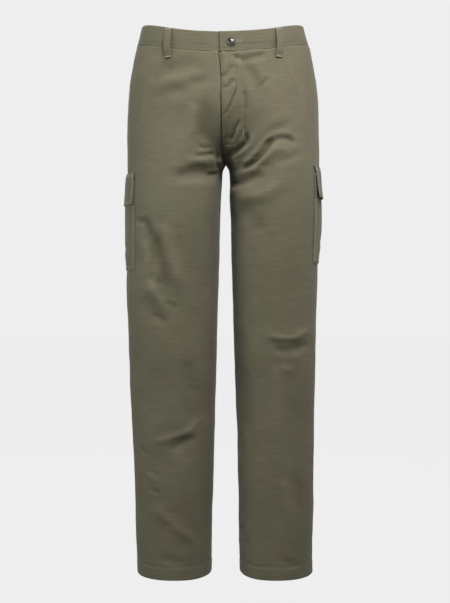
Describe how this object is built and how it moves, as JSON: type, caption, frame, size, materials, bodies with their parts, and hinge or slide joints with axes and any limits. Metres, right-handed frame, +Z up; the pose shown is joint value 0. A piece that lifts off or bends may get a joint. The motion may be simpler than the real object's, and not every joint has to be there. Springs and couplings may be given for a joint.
{
  "type": "cargo trousers",
  "caption": "Straight-leg cotton twill cargo trousers, filled out as worn, with a fly front, metal waist button, belt loops and flapped thigh pockets.",
  "frame": {"origin": "middle of the waist opening, level with the middle of the waistband at the sides, on the body's axis", "axes": "+X to the wearer's left, +Y to the wearer's back, +Z up along the body"},
  "size_m": [0.3932, 0.2641, 1.081],
  "materials": {
    "twill": "khaki olive cotton twill, matt",
    "twill_band": "the same twill, doubled and stitched",
    "button_metal": "dark gunmetal, domed and polished"
  },
  "bodies": {
    "root": {"front_left_top": "twill", "front_left_thigh": "twill", "front_left_shin": "twill", "front_right_top": "twill", "front_right_thigh": "twill", "front_right_shin": "twill", "back_left_top": "twill", "back_left_thigh": "twill", "back_left_shin": "twill", "back_right_top": "twill", "back_right_thigh": "twill", "back_right_shin": "twill", "waistband_left": "twill_band", "waistband_right": "twill_band", "fly_front": "twill", "cargo_pocket_left": "twill", "cargo_pocket_right": "twill", "cargo_flap_left": "twill_band", "cargo_flap_right": "twill_band", "belt_loop_front_left": "twill_band", "belt_loop_front_right": "twill_band", "belt_loop_back_left": "twill_band", "belt_loop_back_right": "twill_band", "belt_loop_back_centre": "twill_band", "button": "button_metal"}
  },
  "joints": []
}
